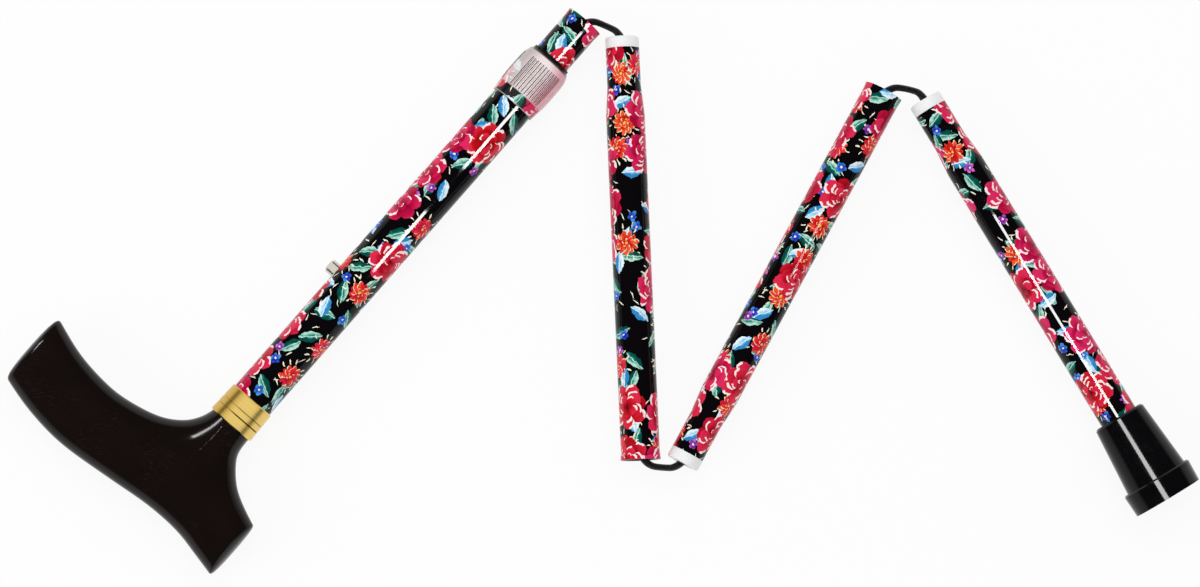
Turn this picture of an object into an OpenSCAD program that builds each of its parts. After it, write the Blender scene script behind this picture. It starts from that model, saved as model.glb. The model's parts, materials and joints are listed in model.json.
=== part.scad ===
// Folding cane of adjustable height, lying half folded in a zigzag with its tube axes in one level plane.
// Each section is modelled along its own axis (local z, from its upper end) and then laid in that plane.

/* [Lay] */
// Direction of the handle section in the level plane, in degrees
handle_dir = 49; // [30:0.5:70]
// Fold at each of the three joints, in degrees
fold_angles = [136.5, 149, 120.5]; // [100:0.5:170]
// Part of each fold that the cord takes at the upper tube's mouth, in degrees
upper_angles = [73, 83, 74]; // [45:0.5:88]
// Room between a mouth's edge and the neck beside it in the closed fold
fold_slacks = [0.7, 1.3, 0.9]; // [0.4:0.1:6]

/* [Lower tubes] */
// Outer diameter of the inner tube and of the lower sections
tube_d = 19; // [15:0.5:24]
// Wall of these tubes
tube_wall = 1.1; // [0.8:0.1:1.6]
// Length of a lower section with its ferrule
section_len = 207; // [160:1:260]
// Length of the swaged neck with its ferrule
neck_len = 24; // [18:1:40]
// Length of the taper from neck to tube
taper_len = 14; // [6:1:30]
// Length of the flared mouth
flare_len = 4; // [2:0.5:8]
// Radial play of a neck in the bore that it plugs into
plug_fit = 0.15; // [0.05:0.05:0.4]
// Length of a ferrule's cap
ferrule_cap_len = 5.5; // [3:0.5:10]
// Length of a ferrule's spigot in the neck
ferrule_spigot_len = 10; // [6:1:12]

/* [Upper tubes] */
// Length of the inner tube
inner_len = 204; // [170:1:260]
// Least distance from the collar's lower end to the top of the inner tube
inner_top = 58; // [45:1:68]
// Least stand-out of the inner tube from the outer tube
inner_out = 30; // [24:1:40]
// Length of the outer tube
outer_len = 222; // [202:1:235]
// Wall of the outer tube
outer_wall = 1.2; // [0.8:0.1:2]
// Radial play between inner and outer tube
slide_fit = 0.4; // [0.2:0.05:0.8]

/* [Height lock] */
// Distance from the top of the inner tube to the button
button_inset = 32; // [26:1:38]
// Diameter of the snap button
button_d = 7.2; // [5:0.1:8]
// Height of the button over the outer tube
button_rise = 4.5; // [2:0.1:6]
// Number of height holes, where there is room for them
height_holes = 7; // [3:1:7]
// Distance between height holes
height_pitch = 17; // [14:0.5:17]
// Length of the lock ring
ring_len = 28; // [24:0.5:36]
// Length of the lock ring that lies over the outer tube
ring_overlap = 14; // [10:0.5:16]
// Wall of the lock ring at its crown
ring_wall = 1.7; // [1.2:0.1:3]
// Number of grip grooves in a panel
grip_grooves = 22; // [8:1:24]
// Number of grip panels
grip_panels = 3; // [1:1:3]

/* [Handle] */
// Reach of the handle behind the tube axis
handle_back = 99; // [80:1:120]
// Reach of the handle in front of the tube axis
handle_front = 42; // [30:1:60]
// Depth of the handle from the collar to the palm
handle_drop = 61.6; // [50:0.2:75]
// Thickness of the handle
handle_t = 24; // [20:0.5:24.5]
// Rounding of the handle's two end faces
handle_end_round = 5; // [2:0.5:8]
// Length of the tenon in the outer tube
tenon_len = 25; // [15:1:40]
// Length of the brass collar
collar_len = 16; // [10:0.5:24]
// Wall of the collar at the handle
collar_wall = 1.3; // [1:0.05:2]

/* [Cord] */
// Diameter of the elastic cord
cord_d = 4; // [3:0.25:5]
// Radius of the cord's axis in a bend
cord_bend_r = 8; // [6:0.5:8]
// Length of the cord lead in each ferrule
cord_lead_len = 20; // [12:1:30]

/* [Tip] */
// Length of the rubber tip
tip_len = 46; // [38:0.5:60]
// Length of the last tube inside the tip
tip_overlap = 26; // [15:0.5:30]
// Diameter at the top of the tip
tip_top_d = 26.4; // [25:0.2:28]
// Diameter at the foot of the cone
tip_cone_d = 31.8; // [29:0.2:34]
// Diameter of the base ring
tip_ring_d = 36; // [35:0.5:45]
// Height of the base ring
tip_ring_len = 11.4; // [6:0.2:14]

/* [Hidden] */
$fn = 64;

// Overrun of cuts, and the play of pieces that are pressed into one another
over = 1;
press_fit = 0.05;
running_fit = 0.1;

// Radii of the tubes, each from the piece that it fits
tube_r = tube_d / 2;
bore_r = tube_r - tube_wall;
neck_r = bore_r - plug_fit;
neck_bore_r = neck_r - tube_wall;
flare = flare_len * (tube_r - neck_r) / taper_len;
outer_bore_r = tube_r + slide_fit;
outer_r = outer_bore_r + outer_wall;

// Inner tube: pushed in as far as its top may go, or until only its least stand-out is left
inner_start = max(inner_top, outer_len + inner_out - inner_len);
inner_mouth = inner_start + inner_len;

// Cord, drawn a little thinner between two bends, and its play in its anchors and ferrules
cord_r = cord_d / 2;
cord_draw = 0.05;
cord_join = 0.4;
cord_play = 0.2;
ferrule_play = 0.3;
ferrule_mouth_play = 3;
ferrule_mouth_len = 4;
ferrule_edge = 0.6;
anchor_len = 8;
anchor_top_gap = 54;
anchor_top_z = inner_start + anchor_top_gap;
anchor_end_gap = 11;
anchor_bottom_z = section_len - anchor_end_gap - anchor_len;
knot_d = 8.4;
knot_seat = 3.4;

// Ring and collet: the collet's cone lies in the ring, its lip in front of it
ring_fit = 0.15;
collet_gap = 0.4;
collet_shoulder_len = 1.2;
collet_cone_len = 9.6;
collet_nose_wall = 0.55;
collet_lip_gap = 0.3;
collet_lip_len = 1.2;
collet_lip_wall = 0.8;
collet_slot_w = 1;
collet_slot_len = 11;
collet_slots = 4;
nose_wall = 0.45;
ring_bore_r = outer_r + ring_fit;
ring_start = outer_len - ring_overlap;
ring_end = ring_start + ring_len;
collet_r = ring_bore_r - running_fit;
collet_bore_r = tube_r + running_fit;
collet_nose_r = collet_bore_r + collet_nose_wall;
collet_start = outer_len + collet_gap;
collet_cone_start = collet_start + collet_shoulder_len;
collet_cone_end = collet_cone_start + collet_cone_len;
collet_lip_start = ring_end + collet_lip_gap;
collet_end = collet_lip_start + collet_lip_len;
ring_crown_r = ring_bore_r + ring_wall;
ring_nose_r = collet_nose_r + running_fit + nose_wall;
ring_profile_shares = [
  [0, 0.53], [0.07, 0.62], [0.29, 0.93], [0.5, 1], [0.74, 0.98], [0.87, 0.82], [0.95, 0.52], [1, 0.12]
];

// Grip grooves, as panels round the ring with a plain gap between them
groove_w = 0.45;
groove_depth = 0.55;
groove_start_share = 0.22;
groove_end_share = 0.84;
groove_angle = 4;
grip_angle = 192;

// Button: its flange lies in the inner tube and rests on the spring's upper leaf. The height holes start at
// the button and end short of the lock ring.
hole_fit = 0.15;
hole_end_gap = 8;
button_z = inner_start + button_inset;
hole_count = min(height_holes, floor((ring_start - hole_end_gap - button_z) / height_pitch) + 1);
button_flange_d = 9.5;
button_flange_t = 1;
button_flange_low = 5.8;
button_edge = 0.9;
button_top = outer_r + button_rise;
spring_w = 6;
spring_t = 0.8;
spring_back = 24;
spring_flat = 6;
spring_low_gap = 0.75;

// Bush on the top end of the inner tube
bush_flange_len = 8;
bush_spigot_len = 6;
bush_hole_d = 10;
bush_start = inner_start - bush_flange_len;
bush_end = inner_start + bush_spigot_len;

// Collar: a turned band with two fine grooves and broken edges
collar_end_wall = 0.75;
collar_edge = 0.4;
collar_groove_w = 0.6;
collar_groove_depth = 0.3;
collar_groove_shares = [0.31, 0.53];
collar_bore_r = outer_r + press_fit;
collar_r = collar_bore_r + collar_wall;
collar_end_r = collar_bore_r + collar_end_wall;

// Tip: a rounded top, a cone, and a base ring with broken edges; the washer lies under the tube's end
tip_edge = 1;
tip_ring_edge = 0.8;
tip_sole_edge = 0.5;
washer_t = 1.5;
washer_gap = 0.2;
tip_start = section_len - tip_overlap;
tip_end = tip_start + tip_len;
tip_ring_start = tip_end - tip_ring_len;

// Handle: outline as shares of its reach and depth, paired point by point with the spine on the flat side,
// whose third share is of the thickness. Between the two the surface is a quarter of an ellipse.
handle_neck_rim = 0.3;
tenon_root = 8;
handle_layer_count = 12;
handle_step_count = 4;
back_edge_shares = [
  [0, 0], [0.025, 0.1], [0.082, 0.208], [0.19, 0.308], [0.35, 0.372], [0.52, 0.396], [0.76, 0.357], [1, 0.248]
];
back_spine_shares = [
  [0.004, 0, 0.95], [0.008, 0.146, 0.95], [0.037, 0.357, 0.96], [0.15, 0.536, 0.98],
  [0.36, 0.625, 1], [0.575, 0.674, 1], [0.82, 0.65, 0.97], [1, 0.576, 0.9]
];
palm_edge_shares = [
  [1, 0.88], [0.808, 0.958], [0.576, 0.994], [0.303, 0.955],
  [0.051, 0.909], [-0.333, 0.911], [-0.69, 0.956], [-1, 1]
];
palm_spine_shares = [
  [1, 0.59, 0.9], [0.84, 0.664, 0.97], [0.596, 0.69, 1], [0.309, 0.664, 1],
  [0.043, 0.62, 1], [-0.32, 0.636, 1], [-0.7, 0.7, 0.97], [-1, 0.757, 0.92]
];
front_edge_shares = [[1, 0.484], [0.67, 0.419], [0.38, 0.341], [0.15, 0.23], [0.026, 0.13], [0, 0]];
front_spine_shares = [
  [1, 0.74, 0.92], [0.73, 0.68, 0.97], [0.38, 0.584, 0.99],
  [0.135, 0.406, 0.96], [0.024, 0.195, 0.95], [0.011, 0, 0.95]
];

handle_neck_r = outer_r + handle_neck_rim;
spine_back = handle_back - handle_end_round;
spine_front = handle_front - handle_end_round;

// Each point as [across, along, across on the spine, along on the spine, half thickness]
function across(share, back, front) = share * (share < 0 ? front : back);
function neck_edge(edge, spine, reach, spine_reach, turn) = [
  for (i = [0:len(edge) - 1]) [
    turn * (handle_neck_r + edge[i].x * (reach - handle_neck_r)),
    -edge[i].y * handle_drop,
    turn * spine[i].x * spine_reach,
    -spine[i].y * handle_drop,
    spine[i].z * handle_t / 2
  ]
];
back_edge = neck_edge(back_edge_shares, back_spine_shares, handle_back, spine_back, 1);
front_edge = neck_edge(front_edge_shares, front_spine_shares, handle_front, spine_front, -1);
palm_edge = [
  for (i = [0:len(palm_edge_shares) - 1]) [
    across(palm_edge_shares[i].x, handle_back, handle_front),
    -palm_edge_shares[i].y * handle_drop,
    across(palm_spine_shares[i].x, spine_back, spine_front),
    -palm_spine_shares[i].y * handle_drop,
    palm_spine_shares[i].z * handle_t / 2
  ]
];

// Smooth curve through a list of points
function curve_point(a, b, c, d, t) =
  (2 * b + (c - a) * t + (2 * a - 5 * b + 4 * c - d) * t * t + (3 * b - a - 3 * c + d) * t * t * t) / 2;
function curve(p) = [
  for (i = [0:len(p) - 2])
    for (k = [0:handle_step_count - 1])
      curve_point(p[max(i - 1, 0)], p[i], p[i + 1], p[min(i + 2, len(p) - 1)], k / handle_step_count),
  p[len(p) - 1]
];
handle_loop = concat(curve(back_edge), curve(palm_edge), curve(front_edge));

// The flat side is a strip between two chains of the loop, both from the back end to the front end: the
// chain that passes the neck, and the palm. Under the neck the strip fans out from one point of the palm.
loop_count = len(handle_loop);
neck_chain = [
  for (j = [(len(back_edge) - 1) * handle_step_count:-1:0]) j,
  for (j = [loop_count - 1:-1:loop_count - 1 - (len(front_edge) - 1) * handle_step_count]) j
];
palm_first = (len(back_edge) - 1) * handle_step_count + 1;
palm_chain = [for (j = [0:(len(palm_edge) - 1) * handle_step_count]) palm_first + j];
fan_index = 4;
fan_start = fan_index * handle_step_count;
fan_end = len(neck_chain) - len(palm_chain) + fan_start + handle_step_count;
strip_pairs = concat(
  [for (k = [0:fan_start - 1]) [k, k]],
  [for (k = [fan_start:fan_end - 1]) [k, fan_start]],
  [for (k = [fan_start:fan_start + handle_step_count - 1]) [fan_end, k]],
  [for (k = [fan_end:len(neck_chain) - 1]) [k, k - len(neck_chain) + len(palm_chain)]]
);
strip = [
  for (i = [0:len(strip_pairs) - 2])
    let (a = strip_pairs[i], b = strip_pairs[i + 1])
      each concat(
        b.x > a.x ? [[neck_chain[b.x], neck_chain[a.x], palm_chain[a.y]]] : [],
        b.y > a.y ? [[neck_chain[b.x], palm_chain[a.y], palm_chain[b.y]]] : []
      )
];

// Lay of the sections: mouth, upper pivot, span of cord, lower pivot, ferrule
pivot_gap = 1.5;
fold_sides = [-1, 1, -1];
mouth_r = tube_r + flare;

function heading(a) = [cos(a), sin(a)];
function section_dir(i) = i == 0 ? handle_dir : section_dir(i - 1) + fold_sides[i - 1] * fold_angles[i - 1];
function link_dir(i) = section_dir(i - 1) + fold_sides[i - 1] * upper_angles[i - 1];
function lower_angle(i) = fold_angles[i - 1] - upper_angles[i - 1];
function span(i) = mouth_r + neck_r + fold_slacks[i - 1];
function mouth_at(i) =
  i == 0 ? inner_mouth * heading(handle_dir) : ferrule_at(i) + section_len * heading(section_dir(i));
function upper_pivot(i) = mouth_at(i - 1) + pivot_gap * heading(section_dir(i - 1));
function lower_pivot(i) = upper_pivot(i) + span(i) * heading(link_dir(i));
function ferrule_at(i) = lower_pivot(i) + pivot_gap * heading(section_dir(i));
function bend_tangent(angle) = cord_bend_r * tan(angle / 2);

// Middle of the outline in the level plane, from the points that can reach furthest
function level_point(p, a, along, left) = p + along * heading(a) + left * [-sin(a), cos(a)];
reach_points = concat(
  [for (p = handle_loop) level_point([0, 0], handle_dir, p[1], p[0])],
  [for (i = [0:2], s = [-1, 1]) level_point(mouth_at(i), section_dir(i), 0, s * mouth_r)],
  [for (z = [tip_ring_start, tip_end], s = [-1, 1])
    level_point(ferrule_at(3), section_dir(3), z, s * tip_ring_d / 2)]
);
reach_x = [for (p = reach_points) p.x];
reach_y = [for (p = reach_points) p.y];
middle = [(min(reach_x) + max(reach_x)) / 2, (min(reach_y) + max(reach_y)) / 2];
axis_z = max(tip_ring_d / 2, handle_t / 2, ring_crown_r, collar_r);

// Lays a piece that is made along z into the level plane, with its y to the left of that direction
module lay(p, a) {
  translate([p.x - middle.x, p.y - middle.y, axis_z]) rotate([0, 90, a]) children();
}

module lay_upper() {
  lay([0, 0], handle_dir) children();
}

module lay_section(i) {
  lay(ferrule_at(i), section_dir(i)) children();
}

module rod(r, z0, z1) {
  translate([0, 0, z0]) cylinder(r = r, h = z1 - z0);
}

module sleeve(r, hole_r, z0, z1) {
  difference() {
    rod(r, z0, z1);
    rod(hole_r, z0 - over, z1 + over);
  }
}

// Hole from the axis out through the wall on the left side
module side_hole(z) {
  translate([0, 0, z]) rotate([-90, 0, 0]) cylinder(r = button_d / 2 + hole_fit, h = outer_r + over);
}

module handle() {
  points = [
    for (k = [0:handle_layer_count])
      let (b = 180 * k / handle_layer_count - 90)
        for (p = handle_loop)
          [p[4] * sin(b), p[0] + (p[2] - p[0]) * (1 - cos(b)), p[1] + (p[3] - p[1]) * (1 - cos(b))]
  ];
  sides = [
    for (k = [0:handle_layer_count - 1], j = [0:loop_count - 1])
      let (a = k * loop_count + j, b = k * loop_count + (j + 1) % loop_count)
        each [[a, b, b + loop_count], [a, b + loop_count, a + loop_count]]
  ];
  last_layer = handle_layer_count * loop_count;
  top = [for (f = strip) [f[0] + last_layer, f[1] + last_layer, f[2] + last_layer]];
  bottom = [for (f = strip) [f[2], f[1], f[0]]];
  color("#1c1311") lay_upper() {
    polyhedron(points, concat(sides, top, bottom), 10);
    rod(outer_bore_r - press_fit, -tenon_root, tenon_len);
  }
}

module brass_collar() {
  color("#b58a3c") lay_upper() difference() {
    rotate_extrude() polygon([
      [collar_bore_r, 0], [collar_r - collar_edge, 0], [collar_r, collar_edge],
      [collar_end_r, collar_len - collar_edge], [collar_end_r - collar_edge, collar_len],
      [collar_bore_r, collar_len]
    ]);
    for (share = collar_groove_shares) {
      groove_z = share * collar_len;
      floor_r = collar_r + share * (collar_end_r - collar_r) - collar_groove_depth;
      sleeve(collar_r + over, floor_r, groove_z, groove_z + collar_groove_w);
    }
  }
}

module outer_tube() {
  color("#2a1a1e") lay_upper() difference() {
    sleeve(outer_r, outer_bore_r, 0, outer_len);
    for (k = [0:hole_count - 1]) side_hole(button_z + k * height_pitch);
  }
}

module lock_ring() {
  length = groove_end_share - groove_start_share;
  color("#5a3038") lay_upper() difference() {
    rotate_extrude() polygon(concat(
      [for (s = ring_profile_shares)
        [ring_nose_r + s.y * (ring_crown_r - ring_nose_r), ring_start + s.x * ring_len]],
      [
        [collet_nose_r + running_fit, ring_end], [collet_nose_r + running_fit, collet_cone_end],
        [ring_bore_r, collet_cone_start], [ring_bore_r, ring_start]
      ]
    ));
    for (p = [0:grip_panels - 1], g = [0:grip_grooves - 1])
      rotate(grip_angle + 360 * p / grip_panels + (g - (grip_grooves - 1) / 2) * groove_angle)
        translate([ring_crown_r - groove_depth, -groove_w / 2, ring_start + groove_start_share * ring_len])
          cube([groove_depth + over, groove_w, length * ring_len]);
  }
}

module collet() {
  color("#151515") lay_upper() difference() {
    rotate_extrude() polygon([
      [collet_bore_r, collet_start], [collet_r, collet_start], [collet_r, collet_cone_start],
      [collet_nose_r, collet_cone_end], [collet_nose_r, collet_lip_start],
      [collet_bore_r + collet_lip_wall, collet_lip_start], [collet_bore_r + collet_lip_wall, collet_end],
      [collet_bore_r, collet_end]
    ]);
    for (k = [0:collet_slots - 1])
      rotate(360 * (k + 0.5) / collet_slots)
        translate([0, -collet_slot_w / 2, collet_end - collet_slot_len])
          cube([collet_r + over, collet_slot_w, collet_slot_len + over]);
  }
}

module inner_tube() {
  color("#2a1a1e") lay_upper() difference() {
    rotate_extrude() polygon([
      [bore_r, inner_start], [tube_r, inner_start], [tube_r, inner_mouth - flare_len],
      [mouth_r, inner_mouth], [mouth_r - tube_wall, inner_mouth], [bore_r, inner_mouth - flare_len]
    ]);
    side_hole(button_z);
  }
}

module guide_bush() {
  color("#e8e4da") lay_upper() difference() {
    union() {
      rod(outer_bore_r - running_fit, bush_start, inner_start);
      rod(bore_r - press_fit, bush_start, bush_end);
    }
    rod(bush_hole_d / 2, bush_start - over, bush_end + over);
  }
}

module snap_button() {
  flange_top = button_flange_low + button_flange_t;
  color("silver") lay_upper() translate([0, 0, button_z]) rotate([-90, 0, 0]) rotate_extrude() polygon([
    [0, button_flange_low], [button_flange_d / 2, button_flange_low], [button_flange_d / 2, flange_top],
    [button_d / 2, flange_top], [button_d / 2, button_top - button_edge],
    [button_d / 2 - button_edge, button_top], [0, button_top]
  ]);
}

// Bent leaf: the lower leg bears on the bore's far wall, the upper leg ends flat under the button
module button_spring() {
  start = button_z - spring_back;
  flat_start = button_z - spring_flat;
  end = button_z + spring_flat;
  low = spring_low_gap - bore_r;
  top = button_flange_low;
  color("lightgray") lay_upper() rotate([90, 0, 90]) translate([0, 0, -spring_w / 2])
    linear_extrude(spring_w) polygon([
      [-spring_t, start], [low, flat_start], [low, end], [low + spring_t, end], [low + spring_t, flat_start],
      [0, start + 2 * spring_t], [top - spring_t, flat_start], [top - spring_t, end], [top, end],
      [top, flat_start], [spring_t, start]
    ]);
}

module cord_anchor(z) {
  color("#d8d4c8") sleeve(bore_r - press_fit, cord_r + cord_play, z, z + anchor_len);
}

// Knot with a flat seat at height z; the knot lies on the side that turn points to
module cord_knot(z, turn) {
  color("#161616") difference() {
    translate([0, 0, z + turn * knot_seat]) sphere(d = knot_d);
    rod(knot_d, turn > 0 ? z - knot_d : z, turn > 0 ? z : z + knot_d);
  }
}

// Cord bend that starts along z, ends at the given angle towards y, and turns about a pivot at the origin
module cord_bend(angle) {
  translate([0, cord_bend_r, -bend_tangent(angle)]) rotate([90, 0, -90])
    rotate_extrude(angle = angle) translate([cord_bend_r, 0]) circle(r = cord_r);
}

module cord_bridge(i) {
  upper = upper_angles[i - 1];
  lower = lower_angle(i);
  color("#161616") lay(upper_pivot(i), section_dir(i - 1)) mirror([0, fold_sides[i - 1] < 0 ? 1 : 0, 0]) {
    cord_bend(upper);
    rotate([-upper, 0, 0]) {
      rod(cord_r - cord_draw, bend_tangent(upper) - cord_join, span(i) - bend_tangent(lower) + cord_join);
      translate([0, 0, span(i)]) cord_bend(lower);
    }
  }
}

module cord_lead(i) {
  start = bend_tangent(lower_angle(i)) - pivot_gap;
  color("#161616") lay_section(i) rod(cord_r, start, start + cord_lead_len);
}

module cord_run(i) {
  start = bend_tangent(lower_angle(i)) - pivot_gap + cord_lead_len;
  end = i == 3 ? anchor_bottom_z + anchor_len : section_len + pivot_gap - bend_tangent(upper_angles[i]);
  color("#161616") lay_section(i) rod(cord_r, start, end);
}

module cord_run_upper() {
  color("#161616") lay_upper()
    rod(cord_r, anchor_top_z, inner_mouth + pivot_gap - bend_tangent(upper_angles[0]));
}

// Lower section: swaged neck, taper, tube, and a mouth that is flared where another neck plugs in
module section_tube(i) {
  end_flare = i == 3 ? 0 : flare;
  taper_end = neck_len + taper_len;
  color("#2a1a1e") lay_section(i) rotate_extrude() polygon([
    [neck_r, ferrule_cap_len], [neck_r, neck_len], [tube_r, taper_end], [tube_r, section_len - flare_len],
    [tube_r + end_flare, section_len], [bore_r + end_flare, section_len], [bore_r, section_len - flare_len],
    [bore_r, taper_end], [neck_bore_r, neck_len], [neck_bore_r, ferrule_cap_len]
  ]);
}

module ferrule(i) {
  hole_r = cord_r + ferrule_play;
  spigot_r = neck_bore_r - press_fit;
  end = ferrule_cap_len + ferrule_spigot_len;
  color("whitesmoke") lay_section(i) rotate_extrude() polygon([
    [cord_r + ferrule_mouth_play, 0], [neck_r - ferrule_edge, 0], [neck_r, ferrule_edge],
    [neck_r, ferrule_cap_len], [spigot_r, ferrule_cap_len], [spigot_r, end], [hole_r, end],
    [hole_r, ferrule_mouth_len]
  ]);
}

module tip_washer() {
  color("lightgray") lay_section(3) rod(tube_r - washer_gap, section_len, section_len + washer_t);
}

module rubber_tip() {
  ring_r = tip_ring_d / 2;
  color("#141414") lay_section(3) difference() {
    rotate_extrude() polygon([
      [0, tip_start], [tip_top_d / 2 - tip_edge, tip_start], [tip_top_d / 2, tip_start + tip_edge],
      [tip_cone_d / 2, tip_ring_start], [ring_r - tip_ring_edge, tip_ring_start],
      [ring_r, tip_ring_start + tip_ring_edge], [ring_r - tip_sole_edge, tip_end], [0, tip_end]
    ]);
    rod(tube_r + press_fit, tip_start - over, section_len + washer_t);
  }
}

handle();
brass_collar();
outer_tube();
lock_ring();
collet();
inner_tube();
guide_bush();
snap_button();
button_spring();
lay_upper() cord_anchor(anchor_top_z);  // cord_anchor_top
lay_upper() cord_knot(anchor_top_z, -1);  // cord_knot_top
cord_run_upper();  // cord_run_1
cord_bridge(1);  // cord_bridge_1
cord_lead(1);  // cord_lead_2
section_tube(1);  // tube_2
ferrule(1);  // ferrule_2
cord_run(1);  // cord_run_2
cord_bridge(2);  // cord_bridge_2
cord_lead(2);  // cord_lead_3
section_tube(2);  // tube_3
ferrule(2);  // ferrule_3
cord_run(2);  // cord_run_3
cord_bridge(3);  // cord_bridge_3
cord_lead(3);  // cord_lead_4
section_tube(3);  // tube_4
ferrule(3);  // ferrule_4
cord_run(3);  // cord_run_4
lay_section(3) cord_anchor(anchor_bottom_z);  // cord_anchor_bottom
lay_section(3) cord_knot(anchor_bottom_z + anchor_len, 1);  // cord_knot_bottom
tip_washer();
rubber_tip();
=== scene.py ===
import bpy
import json
import math
from mathutils import Matrix, Vector


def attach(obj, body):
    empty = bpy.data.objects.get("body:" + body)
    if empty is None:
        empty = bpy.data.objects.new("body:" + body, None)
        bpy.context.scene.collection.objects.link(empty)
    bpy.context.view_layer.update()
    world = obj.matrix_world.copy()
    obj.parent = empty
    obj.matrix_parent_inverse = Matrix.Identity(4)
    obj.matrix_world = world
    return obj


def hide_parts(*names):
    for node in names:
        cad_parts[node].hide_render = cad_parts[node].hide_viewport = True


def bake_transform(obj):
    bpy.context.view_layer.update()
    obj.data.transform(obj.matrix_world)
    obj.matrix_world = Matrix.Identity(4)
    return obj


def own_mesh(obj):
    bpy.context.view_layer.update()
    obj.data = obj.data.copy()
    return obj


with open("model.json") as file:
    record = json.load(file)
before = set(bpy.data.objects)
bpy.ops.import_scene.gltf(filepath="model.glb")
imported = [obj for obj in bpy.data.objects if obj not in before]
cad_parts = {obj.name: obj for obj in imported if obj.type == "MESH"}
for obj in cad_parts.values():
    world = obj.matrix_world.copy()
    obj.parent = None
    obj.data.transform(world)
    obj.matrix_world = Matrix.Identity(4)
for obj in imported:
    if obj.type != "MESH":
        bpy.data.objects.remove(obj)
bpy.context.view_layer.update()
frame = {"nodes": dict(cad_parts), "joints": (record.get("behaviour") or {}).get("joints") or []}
nodes = frame["nodes"]
joints = {j["name"]: j for j in frame["joints"]}
scene = bpy.context.scene
scene.view_settings.view_transform = "Standard"

mm = 0.001
zUp = Vector((0, 0, 1))

# where each tube starts and which way it runs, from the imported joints
layout = {"ringJoint": 222 * mm, "pivotGap": 1.5 * mm}  # how far the joints are from the tubes' ends
upperWay = Vector(joints["height_slide"]["axis"])
upperStart = Vector(joints["ring_turn"]["pos_m"]) - layout["ringJoint"] * upperWay
tubes = {"upper": {"start": upperStart, "way": upperWay}}
for i in (1, 2, 3):
    way = Vector(joints[f"plug_{i}"]["axis"])
    pivot = Vector(joints[f"fold_{i}_lower"]["pos_m"])
    tubes[f"section{i + 1}"] = {"start": pivot + layout["pivotGap"] * way, "way": way}
for t in tubes.values():
    t["turn"] = math.atan2(t["way"].y, t["way"].x)
upper, last = tubes["upper"], tubes["section4"]


def deselectAll():
    if bpy.context.object and bpy.context.object.mode != "OBJECT":
        bpy.ops.object.mode_set(mode="OBJECT")
    bpy.ops.object.select_all(action="DESELECT")


def pick(obj):
    deselectAll()
    obj.select_set(True)
    bpy.context.view_layer.objects.active = obj


def copyNode(node, name):
    # a piece of its own that starts from a CAD node's mesh
    mesh = nodes[node].data.copy()
    mesh.name = name
    piece = bpy.data.objects.new(name, mesh)
    scene.collection.objects.link(piece)
    pick(piece)
    return piece, mesh


def coat(mesh, *materials):
    mesh.materials.clear()
    for material in materials:
        mesh.materials.append(material)


# camera: nearly straight down with a long lens, as in the photograph
view = {"lens": 135, "sensor": 36, "elevation": 85, "imageWidth": 1200, "pixelsPerMm": 2.053,
        "aim": (-0.7 * mm, -1.1 * mm, 18 * mm), "far": 30}
tilt = math.radians(90 - view["elevation"])
reach = view["lens"] / view["sensor"] * view["imageWidth"] / view["pixelsPerMm"] * mm
back = reach * Vector((0, -math.sin(tilt), math.cos(tilt)))
deselectAll()
bpy.ops.object.camera_add(location=Vector(view["aim"]) + back, rotation=(tilt, 0, 0))
scene.camera = bpy.context.object
scene.camera.data.lens = view["lens"]
scene.camera.data.clip_end = view["far"]
print("camera at", [round(c, 3) for c in scene.camera.location])


def linear(hexColour):
    parts = [int(hexColour[k:k + 2], 16) / 255 for k in (1, 3, 5)]
    return [c / 12.92 if c <= 0.04045 else ((c + 0.055) / 1.055) ** 2.4 for c in parts] + [1]


def addNode(tree, kind, inputs, stops=None, **settings):
    node = tree.nodes.new("ShaderNode" + kind)
    for name, value in settings.items():
        setattr(node, name, value)
    for key, value in inputs.items():
        if isinstance(value, bpy.types.NodeSocket):
            tree.links.new(value, node.inputs[key])
        else:
            node.inputs[key].default_value = value
    for k, (place, colour) in enumerate(stops or []):
        stop = node.color_ramp.elements[k] if k < 2 else node.color_ramp.elements.new(place)
        stop.position, stop.color = place, colour
    return node.outputs


def newMaterial(name, **values):
    material = bpy.data.materials.new(name)
    material.use_nodes = True
    bsdf = material.node_tree.nodes["Principled BSDF"]
    for key, value in values.items():
        bsdf.inputs[key].default_value = value
    return material, material.node_tree, bsdf.inputs


def tubePlace(tree, tube):
    # distance along a tube in mm and the angle round it, 0 on top and the seam underneath
    where = addNode(tree, "TexCoord", {})["Object"]
    local = addNode(tree, "Mapping", {"Vector": where, "Location": tube["start"],
                                      "Rotation": (0, 0, tube["turn"]), "Scale": (mm, mm, mm)},
                    vector_type="TEXTURE")[0]
    xyz = addNode(tree, "SeparateXYZ", {0: local})
    return xyz[0], addNode(tree, "Math", {0: xyz[1], 1: xyz[2]}, operation="ARCTAN2")[0]


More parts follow.
